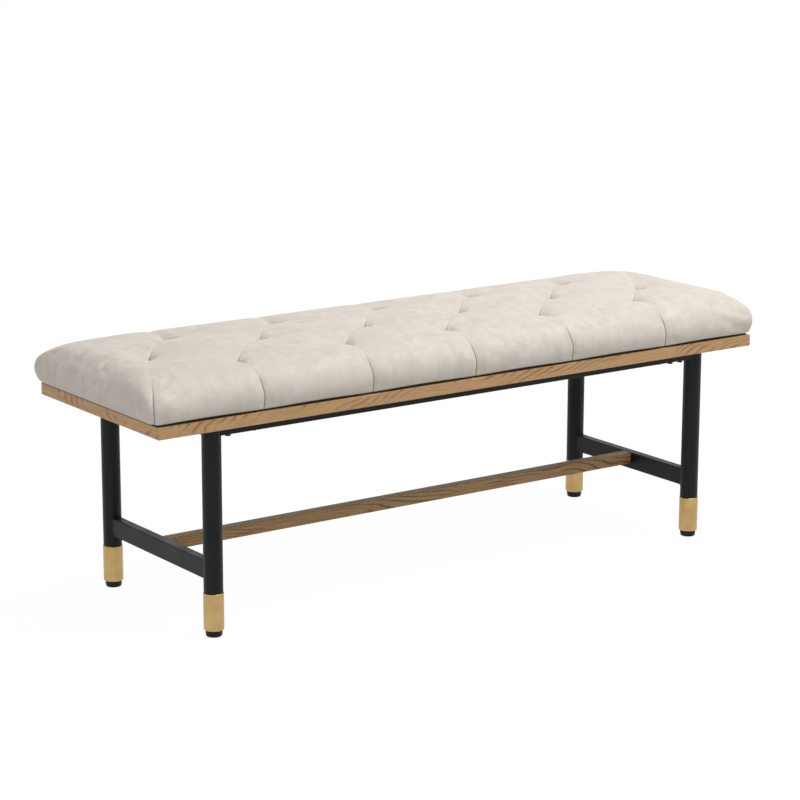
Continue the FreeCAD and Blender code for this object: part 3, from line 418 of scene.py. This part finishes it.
def normals_of(mesh):
    """The outward direction at every vertex."""
    flat = np.empty(len(mesh.vertices) * 3, np.float32)
    mesh.vertices.foreach_get("normal", flat)
    return flat.reshape(-1, 3).astype(float)


remesh = cushion.modifiers.new("even_net", "REMESH")
remesh.mode = "VOXEL"
remesh.voxel_size = NET_SIZE
apply_modifiers(cushion)

points = points_of(cushion.data)
top = on_top(points)
from_middle = np.abs(points[:, 0])
domed = np.clip(1.0 - (points[:, 1] / 0.17) ** 2, 0.0, 1.0) * (1.0 - ease(from_middle, 0.50, 0.68))
points[:, 2] += DOME * domed * top
points[:, 2] -= END_DROP * ease(from_middle, 0.53, 0.68) * top
tuft_gap = nearest_tuft(points)
seam_gap = np.abs(nearest_seam(points))
points[:, 2] -= top * TUFT_DEPTH * (0.55 * bell(tuft_gap, 0.009) + 0.45 * bell(tuft_gap, 0.032))
above_oak = ease(points[:, 2], 0.4165, 0.428)
valley = VALLEY_DEPTH * bell(seam_gap, 0.016) * above_oak * (1.0 - 0.8 * top)
points -= normals_of(cushion.data) * valley[:, None]
move_points(cushion.data, points)
print("even net:", len(points), "points")

# %% [markdown]
# Cloth under a little pressure then swells the leather between the places that are sewn
# or tied. The weights say what is held: fully at the tufts and along the lower edge, and
# partly along the seams, which are stiffer than a single layer. No point may move more
# than a few millimetres, so that the size of the bench stays as drawn.

# %% Swell it as cloth
LARGEST_MOVE = 0.006
PRESSURE = 4.0
FRAMES = 20


def swell(piece):
    """Runs cloth with inner pressure and keeps the result, with each point's move capped.
    Gives back how far the points would have moved."""
    before = points_of(piece.data)
    stiff = 0.40 - 0.28 * ease(before[:, 2], 0.470, 0.492)
    held = np.maximum(bell(nearest_tuft(before), 0.010), stiff * bell(nearest_seam(before), 0.006))
    held[before[:, 2] < 0.4180] = 1.0
    group = piece.vertex_groups.new(name="held")
    for k in np.flatnonzero(held > 0.01).tolist():
        group.add([k], float(held[k]), "REPLACE")
    cloth = piece.modifiers.new("leather", "CLOTH")
    settings = cloth.settings
    settings.quality = 5
    settings.mass = 0.4
    settings.tension_stiffness = settings.compression_stiffness = 25.0
    settings.shear_stiffness = 8.0
    settings.bending_stiffness = 1.5
    settings.use_pressure = True
    settings.uniform_pressure_force = PRESSURE
    settings.vertex_group_mass = "held"
    settings.effector_weights.gravity = 0.0
    for step in range(1, FRAMES + 1):
        bpy.context.scene.frame_set(step)
    apply_modifiers(piece)
    bpy.context.scene.frame_set(1)
    move = points_of(piece.data) - before
    size = np.linalg.norm(move, axis=1, keepdims=True)
    move *= np.minimum(1.0, LARGEST_MOVE / np.maximum(size, 1e-9))
    move_points(piece.data, before + move)
    return size


moved = swell(cushion)
print("cloth moved", round(float(moved.mean()) * 1000, 2), "mm on average, at most",
      round(float(moved.max()) * 1000, 1))

# %% [markdown]
# One subdivision makes the net fine enough for what a sewing machine adds. A seam is a
# narrow groove that the leather rounds into from both sides. Where a seam leaves a tuft,
# the slack leather folds over it: the seam has a steep wall on its left and a long soft
# dip on its right, which fades out a few centimetres from the tuft.

# %% Seams and folds
GROOVE_DEPTH = 0.0020
ROUNDING_DEPTH = 0.0012
FOLD_DEPTH = 0.0060
LIP_HEIGHT = 0.0012

finer = cushion.modifiers.new("finer_net", "SUBSURF")
finer.levels = finer.render_levels = 1
apply_modifiers(cushion)

points = points_of(cushion.data)
signed = nearest_seam(points)
seam_gap = np.abs(signed)
tuft_gap = nearest_tuft(points)
top = on_top(points)
above_oak = ease(points[:, 2], 0.4155, 0.4200)
sewn = np.maximum(1.0 - 0.88 * top, bell(tuft_gap, 0.040)) * above_oak
groove = sewn * (GROOVE_DEPTH * bell(seam_gap, 0.0028) + ROUNDING_DEPTH * bell(seam_gap, 0.0090))
slack = bell(tuft_gap, 0.026) * top
fold = slack * FOLD_DEPTH * np.where(signed > 0.0, bell(signed, 0.013), bell(signed, 0.0022))
lip = slack * LIP_HEIGHT * bell(signed + 0.006, 0.0035)
points -= normals_of(cushion.data) * (groove + fold - lip)[:, None]
deepest = round(float((groove + fold).max()) * 1000, 1)
print("finer net:", len(points), "points, deepest seam", deepest, "mm")

# %% [markdown]
# Along the front the leather doesn't quite touch the oak. It is pulled tight under the
# board between the seams, and a thin dark gap opens there. The lower rim is lifted by a
# millimetre or two, most of all halfway between two seams.

# %% Lift the lower rim
SEAM_PITCH = 0.2375
RIM_LIFT = 0.0020
RIM_WAVE = 0.0014

between = 0.5 - 0.5 * np.cos(2.0 * math.pi * (points[:, 0] - SEAM_FEET[0]) / SEAM_PITCH)
at_side = ease(np.abs(points[:, 1]), 0.196, 0.204)
low = 1.0 - ease(points[:, 2], 0.4150, 0.4215)
points[:, 2] += low * at_side * (RIM_LIFT + RIM_WAVE * between)
move_points(cushion.data, points)
cushion.data.shade_smooth()
print("rim lifted by up to", round((RIM_LIFT + RIM_WAVE) * 1000, 1), "mm")

# %% [markdown]
# The leather's colour has to know where the seams are, because the seams get a painted shade. A
# pattern could be lined up with them by eye, but the mesh already knows, so two numbers are
# stored at each vertex: the distance to the nearest seam in millimetres, and how strong the
# painted seam shade is there. It is strong on the sides and near the tufts, and faint on top between
# them.

# %% Mark the seams
FARTHEST_MM = 12.0
shown = 0.08 + 0.80 * (1.0 - top) + 0.92 * bell(tuft_gap, 0.028)
store_numbers(cushion.data, "seam_side", np.clip(signed * 1000.0, -FARTHEST_MM, FARTHEST_MM))
store_numbers(cushion.data, "seam_near", bell(seam_gap, 0.008) * np.minimum(shown, 1.0))
print("seams marked, on", int((seam_gap < 0.002).sum()), "points")

# %% [markdown]
# The black line in that gap is painted shade, in the form of a lining: black cloth sewn round
# the lower edge of the leather with a cord in its fold. It is made as a thin round section
# that is carried along the cushion's foot, a few millimetres inside the leather, so that it
# shows only where the leather is lifted and the gap there reads dark.

# %% Black piping as painted shade in the gap
GAP_SHADE_RADIUS = 0.0015
GAP_SHADE_INSET = 0.0042


def carried_round(path, radius, section=8):
    """A closed tube. Each point of the flat path is moved in by the inset and gets a ring that
    stands across the path: the outward direction times cos, plus straight up times sin, both
    times the radius."""
    ahead_of = np.roll(path, -1, axis=0) - np.roll(path, 1, axis=0)
    outward = np.stack([ahead_of[:, 1], -ahead_of[:, 0], np.zeros(len(path))], axis=1)
    outward /= np.linalg.norm(outward, axis=1, keepdims=True)
    middle = path - outward * GAP_SHADE_INSET
    spin = np.linspace(0.0, 2.0 * math.pi, section, endpoint=False)[None, :, None]
    circle = np.cos(spin) * outward[:, None] + np.sin(spin) * np.array([0.0, 0.0, 1.0])
    return middle[:, None] + radius * circle


foot_line = stacked_outlines(np.array([OAK_TOP]))[0]
foot_line[:, 2] = OAK_TOP + GAP_SHADE_RADIUS - 0.0001
tube = carried_round(foot_line, GAP_SHADE_RADIUS)
tube_faces = grid_faces(*tube.shape[:2], wrap_rows=True, wrap_columns=True)
# A black strip that paints the shade in the gap under the lifted leather.
gap_shade_piping = mesh_object("gap_shade_lining", tube, tube_faces.tolist())
face_outwards(gap_shade_piping)
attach(gap_shade_piping, "bench")
print("piping length:", round(float(np.linalg.norm(np.diff(foot_line, axis=0), axis=1).sum()), 3), "m")

# %% [markdown]
# ## Leather
# The cover is a soft coated leather in a warm light grey. Its tone drifts in faint
# clouds, with a finer marbling in them, and the surface has a tiny grain and shallow
# creases that run down the sides. The seam lines are darker, because they are narrow
# and lie in shadow: the distance that was stored with the mesh marks them.

# %% Leather material
leather, tree, shader = new_material("cushion_leather", roughness=0.56, specular_ior_level=0.38)
where = place_of(tree)
marbling = noise(tree, where, 34.0, detail=6.0, roughness=0.66, distortion=0.4)
streaks = noise(tree, place_of(tree, scale=(1.0, 1.0, 0.3)), 60.0, detail=4.0)
clouds = noise(tree, where, 8.0, detail=3.0)
tones = [(0.30, rgb(207, 197, 186)), (0.52, rgb(218, 209, 199)), (0.72, rgb(226, 219, 210))]
base = ramp(tree, marbling, tones)
base = mixed(tree, span(tree, clouds, 0.40, 0.68, 0.0, 0.5), base, (*rgb(212, 205, 192), 1.0))
base = mixed(tree, span(tree, streaks, 0.52, 0.74, 0.0, 0.35), base, (*rgb(230, 225, 217), 1.0))
side_mm = add(tree, "Attribute", set_attribute_name="seam_side").outputs["Fac"]
near = add(tree, "Attribute", set_attribute_name="seam_near").outputs["Fac"]
# Painted shade: the leather is darkened along the seams, most on the sides and at the folds beside the
# tufts.
seam_shade = span(tree, math_of(tree, "ABSOLUTE", side_mm), 0.3, 1.9, 1.0, 0.0)
seam_shade = product(tree, seam_shade, near)
base = mixed(tree, product(tree, seam_shade, 0.92), base, (*rgb(92, 86, 72), 1.0))
tree.links.new(base, shader.inputs["Base Color"])
grain = noise(tree, where, 700.0, detail=2.0)
creases = noise(tree, place_of(tree, scale=(1.0, 1.0, 0.3)), 60.0, detail=4.0, distortion=0.8)
bumped(tree, shader, [(creases, 0.0012, 0.30), (grain, 0.0003, 0.25)])
cushion.data.materials.clear()
cushion.data.materials.append(leather)
print("leather has", len(tree.nodes), "nodes")

# %% [markdown]
# The cushion is one padded piece that stands for both the cover and the foam of the CAD
# model. It rides the bench's body, so it stays with the frame in every pose.

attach(cushion, "bench")
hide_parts("seat_cover", "foam_pad")
print("cushion:", [round(v, 4) for v in (*points.min(0), *points.max(0))])

# %% [markdown]
# ## Oak
# Oak shows its growth rings as long stripes, because a board is cut along the trunk.
# The rings are cylinders about a line beside the board, a little tilted to it, so
# that they run out at a slant and make the flame figure of a flat-sawn board. Fine dark
# dashes along the grain are the open pores. A scanned picture of oak would repeat and
# would not fit the boards' edges, while this recipe runs through a board in 3-D. A board
# that lies across gets the same recipe with its grain turned.

# %% Oak material
RINGS_PER_METRE = 300.0
RING_DRIFT = 7.0


def oak_material(name, along_x, light, dark, flame, heart, seed, pore_slant=0.0, pore_depth=0.35):
    """Oak with its grain along X or Y. A ring's number is the distance to the heart line times
    the rings in a metre, plus a slow drift. heart is that line, as its shift along Y and Z and
    its slope. seed moves the pattern along the grain. pore_slant turns the pores out of the
    grain, in radians, and pore_depth is how dark they are."""
    material, tree, shader = new_material(name, roughness=0.55)
    turn = (0.0, 0.0, 0.0) if along_x else (0.0, 0.0, math.pi / 2)
    raw = add(tree, "TexCoord").outputs["Object"]
    turned = add(tree, "Mapping", Vector=raw, Rotation=turn, Location=(seed, 0.0, 0.0)).outputs[0]

    def pattern(scale, detail, roughness=0.5, slant=0.0):
        """Noise on the turned coordinates, slanted and then stretched by a scale."""
        place = add(tree, "Mapping", Vector=turned, Rotation=(0.0, slant, 0.0), Scale=scale)
        return noise(tree, place.outputs[0], 1.0, detail=detail, roughness=roughness)

    sideways, rise, slope = heart
    parts = add(tree, "SeparateXYZ", Vector=turned)
    beside = total(tree, parts.outputs["Y"], product(tree, parts.outputs["X"], slope))
    beside = total(tree, beside, sideways)
    below = total(tree, parts.outputs["Z"], rise)
    away = math_of(tree, "SQRT", total(tree, product(tree, beside, beside), product(tree, below, below)))
    drift = pattern((4.5, 12.0, 16.0), 2.0, roughness=0.45)
    number = total(tree, product(tree, away, RINGS_PER_METRE), product(tree, drift, RING_DRIFT))
    ring_share = math_of(tree, "FRACT", number)
    line = product(tree, span(tree, ring_share, 0.52, 0.93), span(tree, ring_share, 0.93, 1.0, 1.0, 0.0))
    fibres = pattern((12.0, 420.0, 420.0), 3.0)
    pores = span(tree, pattern((130.0, 1000.0, 1000.0), 1.0, slant=pore_slant), 0.60, 0.74)
    patches = span(tree, pattern((7.0, 20.0, 40.0), 2.0), 0.42, 0.60, 0.10, 0.95)
    color = mixed(tree, span(tree, fibres, 0.25, 0.75), (*light, 1.0), (*dark, 1.0))
    color = mixed(tree, product(tree, line, patches), color, (*flame, 1.0))
    color = mixed(tree, product(tree, pores, pore_depth), color, (*flame, 1.0))
    tree.links.new(color, shader.inputs["Base Color"])
    bumped(tree, shader, [(fibres, 0.0002, 0.25), (pores, -0.0003, 0.30)])
    return material


LIGHT_OAK = (rgb(212, 172, 122), rgb(190, 148, 99), rgb(146, 88, 56))
DARK_OAK = (rgb(194, 156, 106), rgb(160, 125, 80), rgb(96, 66, 40))
oak_along = oak_material("oak_along", True, *LIGHT_OAK, heart=(0.05, -0.36, 0.12), seed=0.13)
oak_across = oak_material("oak_across", False, *LIGHT_OAK, heart=(0.30, -0.36, 0.12), seed=0.41)
oak_rail = oak_material("oak_stretcher", True, *DARK_OAK, heart=(0.06, -0.09, 0.05), seed=0.77,
                        pore_slant=0.35, pore_depth=0.75)
print("oak has", len(oak_along.node_tree.nodes), "nodes")

# %% [markdown]
# ## Metal, rubber and the rest
# The tubes are powder coated: black with a fine orange-peel surface and a dull shine.
# The sleeves are brushed brass, so their tiny scratches run round the leg: a noise that
# is stretched sideways and very fine in height.

# %% Powder coat and brass
black, tree, shader = new_material("black_powder_coat", roughness=0.42, specular_ior_level=0.20)
peel = noise(tree, place_of(tree), 900.0, detail=2.0)
dust = noise(tree, place_of(tree), 14.0, detail=4.0)
color = ramp(tree, dust, [(0.35, rgb(15, 15, 17)), (0.70, rgb(23, 23, 25))])
tree.links.new(color, shader.inputs["Base Color"])
tree.links.new(span(tree, dust, 0.3, 0.7, 0.38, 0.48), shader.inputs["Roughness"])
bumped(tree, shader, [(peel, 0.0003, 0.20)])

brass, tree, shader = new_material("brushed_brass", metallic=0.92, roughness=0.40)
scratches = noise(tree, place_of(tree, scale=(0.04, 0.04, 1.0)), 5200.0, detail=2.0)
tarnish = noise(tree, place_of(tree), 40.0, detail=4.0)
color = ramp(tree, tarnish, [(0.35, rgb(182, 152, 100)), (0.70, rgb(196, 167, 114))])
tree.links.new(color, shader.inputs["Base Color"])
tree.links.new(span(tree, scratches, 0.3, 0.7, 0.30, 0.42), shader.inputs["Roughness"])
bumped(tree, shader, [(scratches, 0.00005, 0.35)])

print("powder coat and brass ready")

# %% [markdown]
# Zinc, blackened screws, rubber, plastic and lining cloth are small or hidden. Each is an
# even material with a speckle at its real scale, so one helper makes all five.

# %% Speckled finishes
def speckled(name, scale, stops, relief, detail=2.0, distortion=0.0, **values):
    """A finish whose tone wavers with a fine noise, which also gives the relief, as a distance
    in metres and a strength. The values go to the shader's sockets."""
    material, tree, shader = new_material(name, **values)
    speckle = noise(tree, place_of(tree), scale, detail=detail, distortion=distortion)
    tree.links.new(ramp(tree, speckle, stops), shader.inputs["Base Color"])
    bumped(tree, shader, [(speckle, *relief)])
    return material


zinc = speckled("zinc_plate", 420.0, [(0.35, rgb(168, 172, 176)), (0.65, rgb(196, 198, 200))],
                (0.0001, 0.20), metallic=1.0, roughness=0.38)
black_screw = speckled("blackened_screw", 600.0, [(0.35, rgb(20, 20, 22)), (0.70, rgb(38, 38, 40))],
                       (0.0001, 0.25), metallic=0.6, roughness=0.45)
rubber = speckled("foot_rubber", 1400.0, [(0.4, rgb(9, 9, 10)), (0.7, rgb(18, 18, 19))],
                  (0.0002, 0.35), roughness=0.55, specular_ior_level=0.25)
plastic = speckled("black_plastic", 500.0, [(0.4, rgb(22, 22, 23)), (0.7, rgb(31, 31, 32))],
                   (0.0001, 0.20), detail=3.0, roughness=0.40)
cloth = speckled("black_lining_and_gap_shade", 1300.0, [(0.35, rgb(20, 20, 21)), (0.70, rgb(44, 44, 46))],
                 (0.0003, 0.5), detail=3.0, distortion=1.5, roughness=0.92)
# The black lining cloth also colours the strip in the gap, where it stands for painted shade.
gap_shade_piping.data.materials.append(cloth)
print("speckled finishes ready")

# %% [markdown]
# Plywood shows its layers as thin stripes on the edge, and waxed cord shows its twist.
# Both are a wave, one across the board's thickness and one on the slant.

# %% Plywood and cord
plywood, tree, shader = new_material("plywood", roughness=0.65)
layers = add(tree, "TexWave", set_bands_direction="Z", Vector=place_of(tree), Scale=160.0, Distortion=0.6)
veneer = noise(tree, place_of(tree, scale=(10.0, 160.0, 160.0)), 1.0, detail=4.0)
color = mixed(tree, span(tree, layers.outputs["Fac"], 0.3, 0.7, 0.0, 0.5), (*rgb(205, 176, 132), 1.0),
              (*rgb(160, 124, 84), 1.0))
color = mixed(tree, span(tree, veneer, 0.4, 0.7, 0.0, 0.4), color, (*rgb(178, 142, 98), 1.0))
tree.links.new(color, shader.inputs["Base Color"])
bumped(tree, shader, [(veneer, 0.0002, 0.3)])

twine, tree, shader = new_material("waxed_cord", roughness=0.70)
twist = add(tree, "TexWave", set_bands_direction="DIAGONAL", Vector=place_of(tree), Scale=420.0,
            Distortion=0.5)
color = ramp(tree, twist.outputs["Fac"], [(0.2, rgb(188, 178, 156)), (0.8, rgb(222, 214, 196))])
tree.links.new(color, shader.inputs["Base Color"])
bumped(tree, shader, [(twist.outputs["Fac"], 0.0002, 0.5)])
print("plywood and cord ready")

# %% [markdown]
# ## Weld beads
# Each low cross rail is welded to its two legs, and the weld stays visible as a small
# bead round the rail's end. A CAD fillet could stand for it, but a real bead has ripples.
# So a thin round section is carried along the line where the rail's outline meets the
# round leg, and its radius swells and shrinks a little as it goes.

# %% Weld beads
LEG_RADIUS = 0.0180
BEAD_RADIUS = 0.0019
# How far the bead's middle stands off the rail and off the leg, and how far out along X it
# may follow the leg's curve.
OFF_RAIL = 0.0003
OFF_LEG = 0.0002
FLANK = 0.0165
rail_low, rail_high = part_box("left_cross_rail")
leg_low, leg_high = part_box("leg_front_left")
LEG_X = abs(0.5 * (leg_low.x + leg_high.x))
LEG_Y = abs(0.5 * (leg_low.y + leg_high.y))
RAIL_HALF = 0.5 * (rail_high.x - rail_low.x)


def squared(value):
    """The sign of a value times the fourth root of its size, which squares off a circle."""
    return np.sign(value) * np.abs(value) ** 0.25


def bead(side_x, side_y, around=120, section=10):
    """One closed bead, as a grid of around x section points. The path is a rectangle with
    softened corners: the rail's half sizes times the squared cos and sin. Each of its points
    is pushed along Y until it lies on the leg's cylinder, at the root of the leg's radius
    squared less x squared. The section is a circle whose radius ripples along the path."""
    turn = np.linspace(0.0, 2.0 * math.pi, around, endpoint=False)[:, None]
    spin = np.linspace(0.0, 2.0 * math.pi, section, endpoint=False)[None]
    half_tall = 0.5 * (rail_high.z - rail_low.z)
    out_x, out_z = squared(np.cos(turn)), squared(np.sin(turn))
    radius = BEAD_RADIUS * (1.0 + 0.16 * np.cos(34.0 * turn) + 0.06 * np.cos(13.0 * turn))
    reach = radius * np.cos(spin) + OFF_RAIL
    x = out_x * RAIL_HALF + reach * out_x
    z = out_z * half_tall + reach * out_z
    on_leg = np.sqrt(np.maximum(LEG_RADIUS**2 - np.clip(x, -FLANK, FLANK) ** 2, 0.0))
    y = LEG_Y - on_leg - OFF_LEG + radius * np.sin(spin) * 0.9
    middle_z = 0.5 * (rail_high.z + rail_low.z)
    return np.stack([side_x * (LEG_X + x), side_y * y, middle_z + z], axis=2)


welds, faces = [], []
for number, (side_x, side_y) in enumerate(((-1, -1), (-1, 1), (1, -1), (1, 1))):
    grid = bead(side_x, side_y)
    welds.append(grid.reshape(-1, 3))
    first = number * grid[..., 0].size
    faces.append(grid_faces(*grid.shape[:2], wrap_rows=True, wrap_columns=True) + first)
weld_beads = mesh_object("weld_beads", np.concatenate(welds), np.concatenate(faces).tolist())
weld_beads.data.materials.append(black)
face_outwards(weld_beads)
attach(weld_beads, "bench")
print("weld beads:", len(weld_beads.data.polygons), "faces")

# %% [markdown]
# Every CAD part came in with a placeholder named after its slot in the record. Giving
# each one its real finish only swaps the material in the part's own slot. The mesh and
# the place of the part stay untouched.

# %% Finish the CAD parts
FINISHES = {
    "black_steel": black, "brass": brass, "foot_rubber": rubber, "black_plastic": plastic,
    "zinc_steel": zinc, "black_screws": black_screw, "plywood": plywood, "dust_cloth": cloth,
    "cord": twine, "toggle_plastic": plastic, "oak": oak_along,
}
SPECIAL = {"oak_left_board": oak_across, "oak_right_board": oak_across, "stretcher": oak_rail}
finished = 0
for name, node in nodes.items():
    for place in node.material_slots:
        slot_name = place.material.name.split(".")[0]
        if slot_name in FINISHES:
            place.material = SPECIAL.get(name, FINISHES[slot_name])
            finished += 1
print("finished", finished, "CAD parts")

# %% [markdown]
# ## Floor, backdrop and light
# The photograph has a plain white ground. A camera ray that misses the bench meets white
# straight away, while the light that falls on the bench comes from a calm grey sky and
# two soft lamps. The floor is mostly its own white glow. The rest is daylight on a pale
# surface, so that the bench keeps a faint shadow.

# %% White ground
FLOOR_HALF = 9.0
GLOW_SHARE = 0.90
GLOW_LEVEL = 1.077
SKY_LEVEL = 0.45


def seen_white(tree):
    """1 for rays from the camera, off a gloss or through glass, and 0 for all other light."""
    ray = add(tree, "LightPath").outputs
    seen = math_of(tree, "MAXIMUM", ray["Is Camera Ray"], ray["Is Glossy Ray"])
    return math_of(tree, "MAXIMUM", seen, ray["Is Transmission Ray"])


plan = [(-FLOOR_HALF, -FLOOR_HALF, 0), (FLOOR_HALF, -FLOOR_HALF, 0), (FLOOR_HALF, FLOOR_HALF, 0),
        (-FLOOR_HALF, FLOOR_HALF, 0)]
floor = mesh_object("floor", plan, [(0, 1, 2, 3)], smooth=False)
pale, tree, shader = new_material("pale_floor", base_color=(0.62, 0.62, 0.62, 1.0), roughness=1.0,
                                  specular_ior_level=0.0)
glow = add(tree, "Emission", Color=(1.0, 1.0, 1.0, 1.0), Strength=GLOW_LEVEL)
mix = add(tree, "MixShader", Fac=product(tree, seen_white(tree), GLOW_SHARE))
tree.links.new(shader.outputs[0], mix.inputs[1])
tree.links.new(glow.outputs[0], mix.inputs[2])
tree.links.new(mix.outputs[0], tree.nodes["Material Output"].inputs["Surface"])
floor.data.materials.append(pale)

world = bpy.data.worlds.new("white_room")
world.use_nodes = True
bpy.context.scene.world = world
tree = world.node_tree
sky = add(tree, "MapRange", Value=seen_white(tree), **{"To Min": SKY_LEVEL, "To Max": 1.0})
tree.links.new(sky.outputs[0], tree.nodes["Background"].inputs["Strength"])
tree.nodes["Background"].inputs["Color"].default_value = (1.0, 1.0, 1.0, 1.0)
print("floor of", round(2 * FLOOR_HALF), "m, sky at", SKY_LEVEL)

# %% [markdown]
# A large lamp high above the right front lights the top of the seat, and its size keeps
# the shadows soft. A weak one from the left opens the shade on the near end.

# %% Soft lamps
def soft_lamp(name, place, target, size, power):
    """A square lamp at a place in metres, turned to shine at the target."""
    data = bpy.data.lights.new(name, "AREA")
    data.size = size
    data.energy = power
    lamp = bpy.data.objects.new(name, data)
    bpy.context.scene.collection.objects.link(lamp)
    lamp.location = place
    lamp.rotation_euler = (Vector(target) - Vector(place)).to_track_quat("-Z", "Y").to_euler()


soft_lamp("key_lamp", (1.3, -1.0, 3.4), (0.0, 0.0, 0.4), 2.0, 79.0)
soft_lamp("fill_lamp", (-3.0, -1.6, 1.4), (0.0, 0.0, 0.3), 1.6, 11.0)
